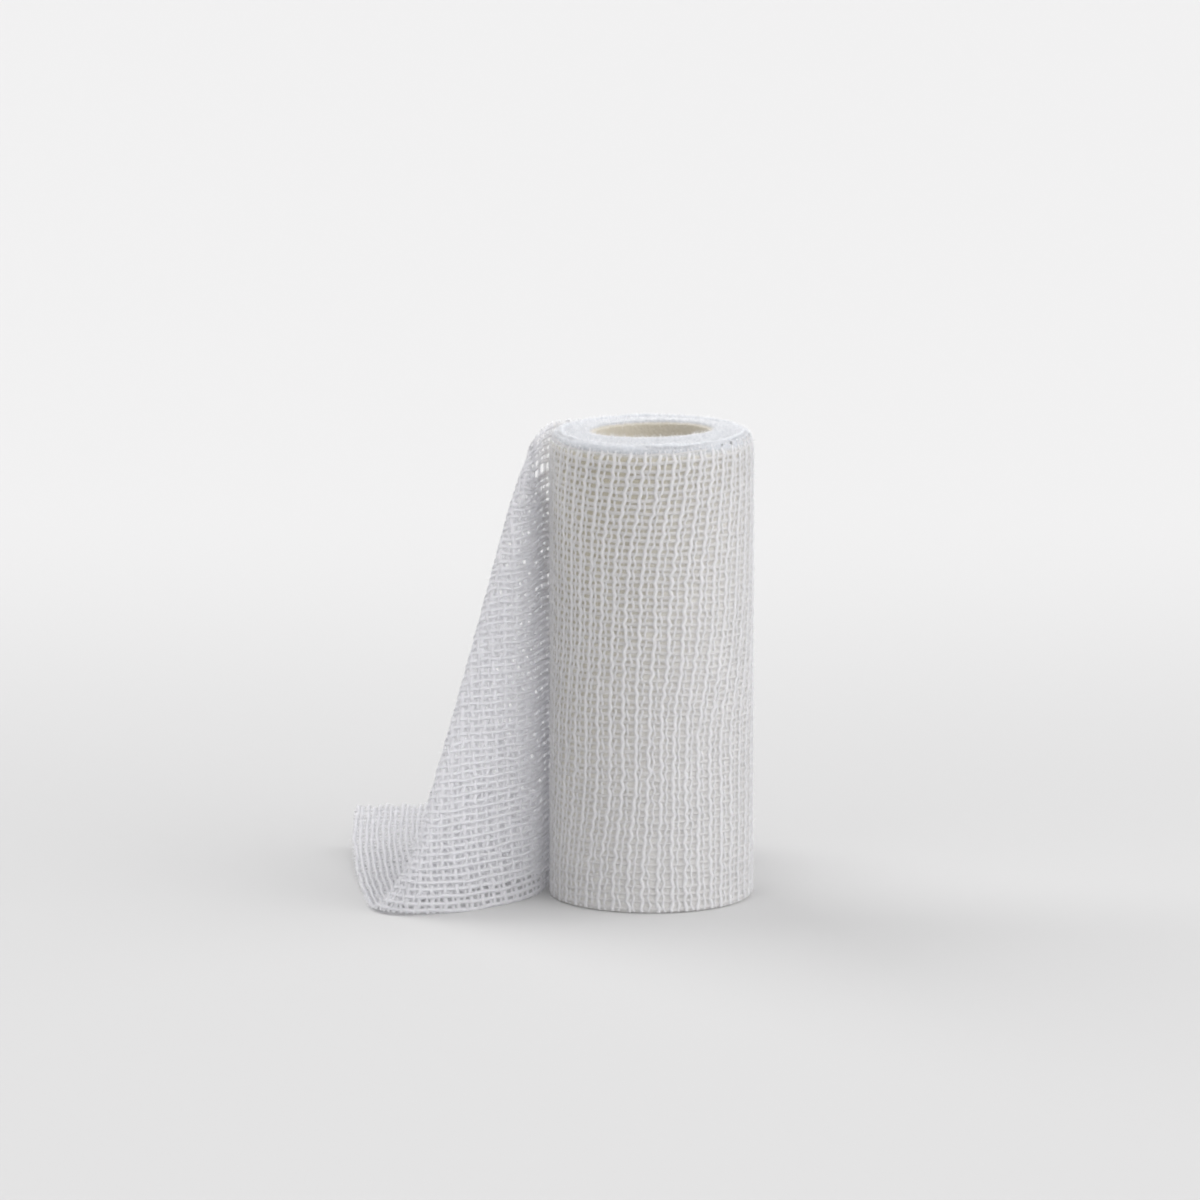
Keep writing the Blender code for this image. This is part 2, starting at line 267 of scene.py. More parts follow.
SECTIONS = (
    Section(0, (-21.1, 8.7, 0), (-21.1, 8.7, 93), (-21.1, 8.6, 100), 93, (0, 0, 0), (0, 0, 0)),
    Section(5, (-22.6, 3.7, 0), (-23.2, 3.6, 93), (-22.9, 4.4, 99.8), 93, (0, 0, 0), (0, 0, 0)),
    Section(10, (-23.6, -1.2, 0), (-25.2, -2.2, 92), (-24.7, 0.1, 98.7), 92, (0, -.2, 0), (0, 0, 0)),
    Section(14, (-25.6, -5.4, 0), (-28.4, -6.8, 86), (-26.4, 0.8, 94.9), 86, (0, -.5, 0), (-.5, .4, .8)),
    Section(20, (-29.6, -10.5, 0), (-33.3, -10.5, 71), (-25.6, 5.2, 90), 71, (0, -.8, 0), (-1.2, 1.4, 0)),
    Section(28, (-35.4, -16.2, 0), (-38.6, -13.8, 54), (-22.4, 11.4, 83.6), 54, (0, -.9, 0), (-1.6, 2.2, -1)),
    Section(36, (-42, -20.8, 0), (-43.6, -16.7, 37.5), (-19, 16.3, 77.4), 38, (0, -1, 0), (-2.4, 3.8, -3)),
    Section(44, (-49.5, -23.4, 0), (-48.3, -19.2, 21.5), (-15.6, 21, 71.2), 22, (0, -.8, 0), (-3.2, 5.8, -4)),
    Section(50, (-55, -23.4, 0), (-51.6, -20.4, 10), (-12.8, 24, 66.5), 10.5, (0, -.4, 0), (-3.4, 6.4, -6)),
    Section(56, (-59.4, -20.6, 0.2), (-56.4, -19.8, 3), (-10.2, 26.8, 62), 4, (0, 0, 0), (-4, 6, -7)),
    Section(60, (-60.6, -16.8, 0.6), (-54.8, -16.8, 1.8), (-8.5, 28.6, 59), 6, (0, 0, 0), (-4, 5.4, -7)),
    Section(66, (-61.4, -11, 0.6), (-47.5, -12, 0.8), (-6.3, 31.4, 54), 15, (0, 0, 0), (-4.6, 5, -6)),
    Section(74, (-62.2, -3, 0.7), (-37.4, -4.2, 0.8), (-3.3, 35.3, 47.6), 28, (0, 0, 0), (-4.6, 4, -5)),
    Section(82, (-63, 5, 0.9), (-28, 9.2, 0.8), (-0.2, 38.9, 40.8), 41, (0, 0, 0.2), (-2.5, 2.8, -3)),
    Section(90, (-63.7, 13, 1.4), (-18.5, 21, 0.8), (3, 42.5, 34), 55, (0, 0, 0.4), (-1.5, 1.5, -2)),
    Section(98, (-64.3, 21, 2.2), (-7.5, 32, 1), (6.1, 45.9, 26.7), 68, (0, -1, 1.2), (0, 0, -1)),
    Section(108, (-64.7, 31, 3.9), (4, 43, 1.8), (10, 50, 18), 84, (0, -1.6, 1.6), (0, 0, -.5)),
    Section(116, (-64.7, 38.6, 6), (9, 47.5, 3.4), (13, 52.8, 12.8), 90, (0, -2, 1.6), (0, 0, 0)),
    Section(124, (-64.4, 45.6, 8.8), (12, 51.5, 7), (15.5, 55, 10.2), 93, (0, -2.4, 1), (0, 0, 0)),
)

CREASES = (
    Crease((30, 20), (16, 62), -0.9, 3.0),
    Crease((40, 12), (24, 46), 0.7, 3.0),
    Crease((46, 8), (36, 30), -0.8, 2.4),
    Crease((12, 30), (6, 80), 0.5, 3.5),
    Crease((70, 62), (28, 92), 1.5, 6.0),
    Crease((58, 36), (40, 70), -1.5, 6.0),
    Crease((96, 44), (124, 40), 2.2, 7.0),
    Crease((100, 62), (124, 60), -2.0, 6.5),
    Crease((104, 78), (124, 77), 1.8, 6.0),
    Crease((66, 5), (100, 14), -0.3, 4.0),
)


@dataclass
class LooseForm:
    """The middle surface of the loose end: two bowed legs on either side of a slanting fold."""

    columns: int = 48              # sections along it
    rows: int = 26                 # points across a section
    row_crowding: float = 1.35     # above 1 draws them towards the fold
    ridge_softness: float = 2.6
    turn_softness: float = 5.0
    turn_from: float = 58.0        # where along the strip the ridge becomes the turn on the floor
    turn_over: float = 22.0
    fold_limits: tuple = (2.5, 97.0)
    bell_reach: float = 3.5        # softnesses that the bell which rounds the fold spans each way
    smoothings: int = 2            # of the whole surface
    edge_reach: float = 4.0        # of the lower border whose slope is carried on past the selvedge
    top_reach: float = 3.0         # and of the upper border
    fold_reach: float = 6.0        # of each leg whose slope at the fold counts
    leg_room: float = 12.0         # legs narrower than this lie closer together
    leg_gap: float = 1.25          # between the legs, in softnesses of the fold
    gap_over: float = 0.8          # and how soon it opens
    leg_spread: float = 16.0
    nearest: float = 22.85         # least distance from the roll's axis
    lift: float = 0.55             # least height of the middle surface where it lies flat
    cell: float = 0.5              # spacing of the fine grid that threads are laid on
    points: Array = field(init=False)
    normals: Array = field(init=False)

    def __post_init__(self) -> None:
        """Work the surface out once, on a fine even grid."""
        grid, along, across = self.coarse()
        fine_t = np.linspace(0, STRIP_WIDTH, round(STRIP_WIDTH / self.cell) + 1)
        fine_s = np.linspace(0, FREE_LENGTH, round(FREE_LENGTH / self.cell) + 1)
        even = np.stack([smooth_through(across[i], grid[i], fine_t) for i in range(self.columns)])
        self.points = smooth_through(along, even, fine_s).reshape(len(fine_s), len(fine_t), 3)
        self.normals = self.grid_normals(self.points)

    @staticmethod
    def grid_normals(grid: Array) -> Array:
        """Return the unit normal at each point of a (sections, rows, 3) grid."""
        normal = np.cross(np.gradient(grid, axis=0), np.gradient(grid, axis=1))
        return normal / np.maximum(np.linalg.norm(normal, axis=2, keepdims=True), 1e-9)

    @staticmethod
    def leg(u: Array, start: Array, middle: Array, end: Array) -> Array:
        """Return points on the parabola from start to end by way of middle, u from 0 to 1."""
        u = u[:, None]
        return start * (2 * (u - 0.5) * (u - 1)) + middle * (4 * u * (1 - u)) + end * (2 * u * (u - 0.5))

    def section(self, edge: Array, front: Array, fold: Array, back: Array,
                top: Array, fold_at: float, fold_way: Array, softness: float,
                across: Array) -> Array:
        """Shape one section: two bowed legs that meet in a softly rounded fold.

        Args:
            edge, front, fold, back, top: the places that it passes, from selvedge to selvedge.
            fold_at: how far across the fold lies.
            fold_way: the direction in which the fold runs.
            softness: how far the fold is rounded.
            across: where on the section its points are wanted.

        Returns:
            Those points.
        """
        margin, step = 20.0, 0.25
        fine = np.arange(-margin, STRIP_WIDTH + margin + step, step)
        inside = np.clip(fine, 0, STRIP_WIDTH)
        rest = STRIP_WIDTH - fold_at
        line = np.where((fine <= fold_at)[:, None], self.leg(inside / fold_at, edge, front, fold),
                        self.leg((inside - fold_at) / rest, fold, back, top))
        first, last = min(fold_at, self.edge_reach), min(rest, self.top_reach)
        near_edge = self.leg(np.array([first / fold_at]), edge, front, fold)[0]
        near_top = self.leg(np.array([1 - last / rest]), fold, back, top)[0]
        below, above = fine < 0, fine > STRIP_WIDTH
        line[below] = edge + (edge - near_edge) / first * -fine[below][:, None]
        line[above] = top + (top - near_top) / last * (fine[above] - STRIP_WIDTH)[:, None]
        reach = int(self.bell_reach * softness / step)
        bell = np.exp(-0.5 * (np.arange(-reach, reach + 1) * step / softness) ** 2)
        bell /= bell.sum()
        padded = np.pad(line, ((reach, reach), (0, 0)), mode="edge")
        soft = np.stack([np.convolve(padded[:, k], bell, "valid") for k in range(3)], 1)
        legs = (self.leg(np.array([max(0.0, 1 - self.fold_reach / fold_at), 1.0]), edge, front, fold),
                self.leg(np.array([0.0, min(1.0, self.fold_reach / rest)]), fold, back, top))
        ways = [(leg[1] - leg[0]) / np.linalg.norm(leg[1] - leg[0]) for leg in legs]
        square = [way - way.dot(fold_way) * fold_way for way in ways]
        outward = sum(way / max(np.linalg.norm(way), 1e-6) for way in square)
        openness = np.linalg.norm(outward) / 2
        room = min(1.0, fold_at / self.leg_room, rest / self.leg_room)
        gap = (1 - min(openness, 1.0)) * softness * np.linalg.norm(square[0]) * self.leg_gap * room
        off = fine - fold_at
        apart = np.tanh(off / (self.gap_over * softness)) * np.exp(-(off / self.leg_spread) ** 2) * gap
        soft += outward / max(2 * openness, 1e-6) * apart[:, None]
        return np.stack([np.interp(across, fine, soft[:, k]) for k in range(3)], 1)

    def coarse(self) -> tuple[Array, Array, Array]:
        """Shape the surface on its own few sections.

        Returns:
            The points, where each section is along the strip, and where its points are across it.
        """
        stations = [row.along for row in SECTIONS]
        along = np.linspace(stations[0], stations[-1], self.columns)
        read = {name: smooth_through(stations, [getattr(row, name) for row in SECTIONS], along)
                for name in ("edge", "fold", "top", "fold_at", "front", "back")}
        fold_at = np.clip(read["fold_at"][:, 0], *self.fold_limits)
        front = (read["edge"] + read["fold"]) / 2 + read["front"]
        back = (read["fold"] + read["top"]) / 2 + read["back"]
        turned = np.clip((along - self.turn_from) / self.turn_over, 0, 1)
        softness = self.ridge_softness + (self.turn_softness - self.ridge_softness) * turned
        half = self.rows // 2
        u, v = np.linspace(0, 1, half + 1)[:-1], np.linspace(0, 1, self.rows - half)
        u, v = 1 - (1 - u) ** self.row_crowding, v ** self.row_crowding
        across = np.stack([np.concatenate([at * u, at + (STRIP_WIDTH - at) * v]) for at in fold_at])
        fold_way = np.gradient(read["fold"], axis=0)
        fold_way /= np.linalg.norm(fold_way, axis=1, keepdims=True)
        grid = np.stack([self.section(read["edge"][i], front[i], read["fold"][i], back[i], read["top"][i],
                                      fold_at[i], fold_way[i], softness[i], across[i])
                         for i in range(self.columns)])
        normal = self.grid_normals(grid)
        s = np.repeat(along[:, None], self.rows, axis=1)
        for crease in CREASES:
            ds, dt = crease.end[0] - crease.start[0], crease.end[1] - crease.start[1]
            length = math.hypot(ds, dt)
            way = ((s - crease.start[0]) * ds + (across - crease.start[1]) * dt) / length
            aside = ((across - crease.start[1]) * ds - (s - crease.start[0]) * dt) / length
            past = np.maximum(0, np.maximum(-way, way - length))
            swell = np.exp(-(aside / crease.spread) ** 2) * np.exp(-(past / (2 * crease.spread)) ** 2)
            grid += normal * (crease.height * swell)[..., None]
        for _ in range(self.smoothings):
            mean = (grid[:-2, 1:-1] + grid[2:, 1:-1] + grid[1:-1, :-2] + grid[1:-1, 2:]) / 4
            grid[1:-1, 1:-1] += (mean - grid[1:-1, 1:-1]) / 2
        radius = np.hypot(grid[..., 0], grid[..., 1])
        grid[..., :2] *= np.maximum(1, self.nearest / radius)[..., None]
        grid[..., 2] = np.maximum(grid[..., 2], np.abs(self.grid_normals(grid)[..., 2]) * self.lift)
        return grid, along, across

    def at(self, s: Array, t: Array) -> tuple[Array, Array]:
        """Read the surface.

        Args:
            s, t: places along and across the strip. Just past its border it runs on straight.

        Returns:
            The points and the normals there.
        """
        i = np.clip(np.floor(s / self.cell).astype(int), 0, self.points.shape[0] - 2)
        j = np.clip(np.floor(t / self.cell).astype(int), 0, self.points.shape[1] - 2)
        u, v = (s / self.cell - i)[..., None], (t / self.cell - j)[..., None]
        found = [grid[i, j] * (1 - u) * (1 - v) + grid[i + 1, j] * u * (1 - v) + grid[i, j + 1] * (1 - u) * v
                 + grid[i + 1, j + 1] * u * v for grid in (self.points, self.normals)]
        return found[0], found[1] / np.linalg.norm(found[1], axis=-1, keepdims=True)


@dataclass
class Winding:
    """Where the whole strip lies: wound on the roll below 0 along, and loose beyond."""

    form: LooseForm = field(default_factory=LooseForm)
    leaves_at: float = math.atan2(8.7, -21.1)      # angle round the roll where the strip leaves it
    turn: float = TURN
    thickness: float = 0.30                        # what a turn adds to the radius
    outer: float = 21.75                           # radius of the strip's middle where it leaves
    lift_length: float = 14.0                      # over which it comes away from the turn below
    foot: float = 0.3                              # where the lower selvedge stands above the floor
    height: float = 99.3
    rim_from: float = 97.2                         # above this the upper selvedge bends inwards
    rim_bend: float = 0.9
    lowest: float = 0.22                           # of a thread's middle above the floor

    def radius(self, s: Array) -> Array:
        """Return the wound strip's distance from the axis, without its lift."""
        return self.outer + self.thickness * s / self.turn

    def at(self, s: Array, t: Array, rise: Array) -> tuple[Array, Array]:
        """Place points of the strip.

        Args:
            s, t: along and across the strip.
            rise: how far each point stands out from the strip's middle surface.

        Returns:
            The points, and the outward way at each.
        """
        wound_s = np.minimum(s, 0.0)
        away = smooth_step(1 + wound_s / self.lift_length)
        angle = self.leaves_at + wound_s * (2 * math.pi / self.turn)
        past = np.clip((t - self.rim_from) / (STRIP_WIDTH - self.rim_from), 0, 1)
        bend = self.rim_bend * past ** 2 * (1 - away)
        radius = self.radius(wound_s) * (1 - away) + self.form.nearest * away - bend
        out = np.stack([np.cos(angle), np.sin(angle), np.zeros_like(angle)], -1)
        wound = out * radius[..., None]
        wound[..., 2] = (self.foot + t * (self.height / STRIP_WIDTH)) * (1 - away) + t * away
        loose, normal = self.form.at(np.maximum(s, 0.0), t)
        free = (s > 0)[..., None]
        points, out = np.where(free, loose, wound), np.where(free, normal, out)
        points = points + out * rise[..., None]
        points[..., 2] = np.maximum(points[..., 2], self.lowest)
        return points, out


# ---------------------------------------------------------------- the weave

class Kind(Enum):
    """The three kinds of thread in the weave."""

    BOLD = "bold cross threads"
    THIN = "thin cross threads"
    LENGTHWISE = "lengthwise threads"


@dataclass(frozen=True)
class Yarn:
    """Sizes of a thread: its width on the cloth, its thickness, and the corners of its section."""

    width: float
    thickness: float
    corners: int


WOUND_YARNS = {
    Kind.BOLD: Yarn(0.90, 0.36, 6),
    Kind.THIN: Yarn(0.56, 0.30, 6),
    Kind.LENGTHWISE: Yarn(0.92, 0.26, 6),
}
LOOSE_YARNS = {
    Kind.BOLD: Yarn(1.00, 0.28, 6),
    Kind.THIN: Yarn(0.74, 0.24, 4),
    Kind.LENGTHWISE: Yarn(0.94, 0.24, 4),
}


@dataclass
class Weave:
    """The open weave of the strip: where each thread runs on the flat strip, and how it is crimped."""

    pair: float = TURN / PAIRS_ROUND          # from one bold cross thread to the next
    thin_at: float = 0.42                     # where the thin one lies between two bold ones
    lengthwise: int = 65
    margin: float = 0.8                       # from a selvedge to the first lengthwise thread
    crimp: float = 0.045                      # how far threads pass over and under each other
    corrugation: float = 0.07                 # how far the cloth swells between a bold and a thin thread
    zigzag: float = 0.26                      # how far each lengthwise thread pulls a cross thread aside
    pulls: tuple = (0.3, 1.4)                 # and the least and greatest share of that at one crossing
    overhang: float = 0.45                    # of a cross thread past the last lengthwise one, in pitches
    lean: float = 7.0                         # how far round a cross thread's top lies from its foot
    lean_curve: float = 1.5                   # above 1 it leans mostly in its upper half
    lean_fade: float = 34.0                   # before the loose end, over which it loses its lean
    proud: float = 0.06                       # how far the bold cross threads stand out
    sunk: float = 0.03                        # and how far the lengthwise threads lie in
    slack: float = 0.11                       # sideways waver of each thread by itself
    knot: float = 3.4                         # length over which that waver changes
    drifts: tuple = (Drift(3, 30, 90), Drift(8, 30, 90))
    drift_sizes: tuple = (0.9, 0.5)
    seed: int = 21

    @property
    def pitch(self) -> float:
        """Return the distance between lengthwise threads."""
        return (STRIP_WIDTH - 2 * self.margin) / (self.lengthwise - 1)

    def flat_place(self, n: Array, q: Array) -> tuple[Array, Array]:
        """Find where two threads cross on the flat strip.

        Args:
            n: number of the cross thread, even for a bold one. It may lie between two threads.
            q: number of the lengthwise thread, likewise.

        Returns:
            Its place along and across the strip.
        """
        whole = np.floor(n / 2)
        part = n - 2 * whole
        within = np.where(part < 1, part * self.thin_at, self.thin_at + (part - 1) * (1 - self.thin_at))
        s, t = (whole + within) * self.pair, self.margin + q * self.pitch
        share = np.clip(t / STRIP_WIDTH, 0, 1) ** self.lean_curve
        lean = self.lean * share * smooth_step(-s / self.lean_fade)
        return (s + lean + self.drift_sizes[0] * self.drifts[0].at(s, t),
                t + self.drift_sizes[1] * self.drifts[1].at(s, t))

    def waver(self, count: int, samples: Array, seed: int) -> Array:
        """Return each thread's own sideways waver at the samples, one row for each thread."""
        knots = np.arange(samples.min() - self.knot, samples.max() + 2 * self.knot, self.knot)
        values = np.random.default_rng(seed).normal(0, self.slack, (len(knots), count))
        return smooth_through(knots, values, samples).T

    def swell(self, s: Array) -> Array:
        """Return how far the corrugated cloth stands out, by place along the flat strip."""
        return self.corrugation * np.cos(2 * math.pi * (s / self.pair - self.thin_at / 2))

    def cross_threads(self, first: int, last: int, kind: Kind, winding: Winding) -> tuple[Array, Array]:
        """Lay the bold or the thin cross threads.

        Args:
            first, last: range of the pairs.
            kind: bold or thin.
            winding: the surface that they are laid on.

        Returns:
            Points and outward ways, one row for each thread.
        """
        odd = 0 if kind is Kind.BOLD else 1
        n = (2 * np.arange(first, last) + odd).astype(float)[:, None]
        q = np.concatenate([[-self.overhang], np.arange(0, self.lengthwise - 0.25, 0.5),
                            [self.lengthwise - 1 + self.overhang]])[None, :]
        s, t = self.flat_place(n, q)
        s = s + self.waver(len(n), q[0] * self.pitch, self.seed + odd - first)
        pull = np.random.default_rng(self.seed + 3 + odd - first).uniform(*self.pulls, s.shape)
        s = s + self.zigzag * pull * np.cos(math.pi * (q + n / 2))
        rise = self.crimp * np.cos(math.pi * (q + n)) + self.swell((n // 2 + odd * self.thin_at) * self.pair)
        if kind is Kind.BOLD:
            rise = rise + self.proud
        return winding.at(s, t, rise)

    def lengthwise_threads(self, first: int, last: int, ends: float, winding: Winding) -> tuple[Array, Array]:
        """Lay the lengthwise threads.

        Args:
            first, last: range of the pairs of cross threads that they pass.
            ends: how unevenly they end at the last.
            winding: the surface that they are laid on.

        Returns:
            Points and outward ways, one row for each thread.
        """
        n = np.arange(2 * first, 2 * last + 0.25, 0.5)[None, :]
        q = np.arange(self.lengthwise).astype(float)[:, None]
        s, t = self.flat_place(n, q)
        t = t + self.waver(self.lengthwise, n[0] * self.pair / 2, self.seed + 7 - first)
        s[:, -1] += np.random.default_rng(self.seed).uniform(-ends, ends, self.lengthwise)
        rise = -self.crimp * np.cos(math.pi * (q + n)) + self.swell(s) - self.sunk
        return winding.at(s, t, rise)


@dataclass
class Spinner:
    """Spins threads round guide lines with a tree of geometry nodes."""

    seed: int = 5
    slub: float = 0.16         # how far a thread's breadth varies
    slub_scale: float = 420.0  # changes of it in a metre
    tree: NodeTree = field(init=False)
    sockets: dict = field(init=False)

    def __post_init__(self) -> None:
        """Build the tree once for all threads."""
        tree, self.sockets = start_tree("spun threads", {
            "Guides": "Geometry", "Width": "Float", "Thickness": "Float", "Corners": "Int", "Slub": "Float",
            "Seed": "Int", "Finish": "Material"})
        add = partial(add_node, tree)
        given = add("NodeGroupInput").outputs
        lines = add("GeometryNodeMeshToCurve", {"Mesh": given["Guides"]})
        outward = add("GeometryNodeInputNamedAttribute", {"Name": "outward"}, data_type="FLOAT_VECTOR")
        turned = add("GeometryNodeSetCurveNormal", {"Curve": lines, "Normal": outward}, mode="FREE")
        length = add("GeometryNodeSplineParameter")
        marked = add("GeometryNodeStoreNamedAttribute", {"Geometry": turned, "Name": "along",
                     "Value": length.outputs["Length"]}, data_type="FLOAT", domain="POINT")
        circle = add("GeometryNodeCurvePrimitiveCircle", {"Resolution": given["Corners"], "Radius": 0.5},
                     mode="RADIUS")
        size = add("ShaderNodeCombineXYZ", {"X": given["Thickness"], "Y": given["Width"], "Z": 1.0})
        oval = add("GeometryNodeTransform", {"Geometry": circle, "Scale": size})
        factor = add("GeometryNodeSplineParameter")
        profile = add("GeometryNodeStoreNamedAttribute", {"Geometry": oval, "Name": "around",
                      "Value": factor.outputs["Factor"]}, data_type="FLOAT", domain="POINT")
        random = add("ShaderNodeTexNoise", {"W": given["Seed"], "Scale": self.slub_scale, "Detail": 2.0},
                     noise_dimensions="4D")
        scale = add("ShaderNodeMath", {0: random, 1: 0.5}, operation="SUBTRACT")
        grown = add("ShaderNodeMath", {0: scale, 1: given["Slub"], 2: 1.0}, operation="MULTIPLY_ADD")
        spun = add("GeometryNodeCurveToMesh", {"Curve": marked, "Profile Curve": profile, "Scale": grown,
                   "Fill Caps": True})
        end_tree(tree, spun, given["Finish"])
        self.tree = tree

    def spin(self, points: Array, outward: Array, yarn: Yarn, finish: Material) -> Mesh:
        """Spin threads round guide lines.

        Args:
            points: places in millimetres, one row for each thread.
            outward: the way out of the cloth at each.
            yarn: the threads' sizes.
            finish: their material.

        Returns:
            A plain mesh in metres.
        """
        rows, count = points.shape[:2]
        index = np.arange(rows * count).reshape(rows, count)
        edges = np.stack([index[:, :-1], index[:, 1:]], -1).reshape(-1, 2)
        guide = bpy.data.meshes.new("guides")
        guide.from_pydata(((points + AXIS) * MM).reshape(-1, 3).tolist(), edges.tolist(), [])
        ways = guide.attributes.new("outward", "FLOAT_VECTOR", "POINT")
        ways.data.foreach_set("vector", outward.reshape(-1))
        return run_tree(self.tree, self.sockets, guide, {
            "Width": yarn.width * MM, "Thickness": yarn.thickness * MM, "Corners": yarn.corners,
            "Slub": 2 * self.slub, "Seed": self.seed, "Finish": finish})


@dataclass
class Fuzz:
    """Raises the loose fibres of the yarn with a tree of geometry nodes."""

    length: float = 0.9
    breadth: float = 0.03
    curl: float = 0.3          # how far a fibre's tip rises, as a share of its length
    clearance: float = 0.02    # the lowest that a fibre lies above the floor
    sway: float = 0.3          # how far it leans aside, in radians
    sizes: tuple = (0.4, 1.3)  # the smallest and the largest, as shares of its length and breadth
    tree: NodeTree = field(init=False)
    sockets: dict = field(init=False)

    def __post_init__(self) -> None:
        """Build the tree once for all pieces."""
        tree, self.sockets = start_tree("loose fibres", {
            "Cloth": "Geometry", "Density": "Float", "Length": "Float", "Breadth": "Float", "Curl": "Float",
            "Lowest": "Float", "Seed": "Int", "Finish": "Material"})
        add = partial(add_node, tree)
        given = add("NodeGroupInput").outputs
        where = add("GeometryNodeInputPosition")
        level = add("ShaderNodeSeparateXYZ", {0: where})
        chosen = add("ShaderNodeMath", {0: level.outputs[2], 1: given["Lowest"]}, operation="GREATER_THAN")
        upper = add("GeometryNodeSeparateGeometry", {"Geometry": given["Cloth"], "Selection": chosen},
                    domain="FACE")
        roots = add("GeometryNodeDistributePointsOnFaces", {"Mesh": upper, "Density": given["Density"],
                    "Seed": given["Seed"]})
        strip = add("GeometryNodeMeshGrid", {"Size X": given["Breadth"], "Size Y": given["Length"],
                    "Vertices X": 2, "Vertices Y": 3})
        place = add("GeometryNodeInputPosition")
        parts = add("ShaderNodeSeparateXYZ", {0: place})
        share = add("ShaderNodeMath", {0: parts.outputs[1], 1: given["Length"]}, operation="DIVIDE")
        from_root = add("ShaderNodeMath", {0: share, 1: 0.5}, operation="ADD")
        squared = add("ShaderNodeMath", {0: from_root, 1: 2.0}, operation="POWER")
        tip = add("ShaderNodeMath", {0: given["Length"], 1: given["Curl"]}, operation="MULTIPLY")
        rise = add("ShaderNodeMath", {0: squared, 1: tip}, operation="MULTIPLY")
        half = add("ShaderNodeMath", {0: given["Length"], 1: 0.5}, operation="MULTIPLY")
        offset = add("ShaderNodeCombineXYZ", {1: half, 2: rise})
        bent = add("GeometryNodeSetPosition", {"Geometry": strip, "Offset": offset})
        turn = add("FunctionNodeRandomValue", {0: (-self.sway, -self.sway, 0.0), 1: (self.sway, self.sway,
                   2 * math.pi), "Seed": given["Seed"]}, data_type="FLOAT_VECTOR")
        way = add("FunctionNodeRotateRotation", {"Rotation": roots.outputs["Rotation"], "Rotate By": turn},
                  rotation_space="LOCAL")
        size = add("FunctionNodeRandomValue", {2: self.sizes[0], 3: self.sizes[1], "Seed": given["Seed"]},
                   data_type="FLOAT")
        raised = add("GeometryNodeInstanceOnPoints", {"Points": roots.outputs["Points"], "Instance": bent,
                     "Rotation": way, "Scale": size.outputs[1]})
        real = add("GeometryNodeRealizeInstances", {"Geometry": raised})
        reached = add("GeometryNodeInputPosition")
        spread = add("ShaderNodeSeparateXYZ", {0: reached})
        kept = add("ShaderNodeMath", {0: spread.outputs[2], 1: self.clearance * MM}, operation="MAXIMUM")
        above = add("ShaderNodeCombineXYZ", {0: spread, 1: spread.outputs[1], 2: kept})
        laid = add("GeometryNodeSetPosition", {"Geometry": real, "Position": above})
        end_tree(tree, laid, given["Finish"])
        self.tree = tree

    def raise_from(self, cloth: Object, density: float, seed: int, finish: Material,
                   lowest: float = -1.0) -> Mesh:
        """Raise fibres from a piece.

        Args:
            cloth: the piece that they are part of.
            density: how many rise from a square millimetre of its surface.
            seed: fixes where they are.
            finish: their material.
            lowest: the height in millimetres above which they rise.

        Returns:
            A plain mesh in metres.
        """
        return run_tree(self.tree, self.sockets, cloth.data.copy(), {
            "Density": density / MM ** 2, "Lowest": lowest * MM, "Length": self.length * MM,
            "Breadth": self.breadth * MM, "Curl": self.curl, "Seed": seed, "Finish": finish})


def make_piece(name: str, meshes: list[Mesh]) -> Object:
    """Join meshes into one piece that rides on the bandage.

    Args:
        name: the piece's name.
        meshes: its meshes, all with the same material.

    Returns:
        The new object.
    """
    objects = [add_object(name, mesh) for mesh in meshes]
    if len(objects) > 1:
        with bpy.context.temp_override(active_object=objects[0], object=objects[0], selected_objects=objects,
                                       selected_editable_objects=objects):
            bpy.ops.object.join()
    piece = objects[0]
    piece.name = piece.data.name = name
    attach(piece, "root")
    triangles = sum(len(p.vertices) - 2 for p in piece.data.polygons)
    LOG.info("%s: %d triangles", name, triangles)
    return piece


# ---------------------------------------------------------------- finishes

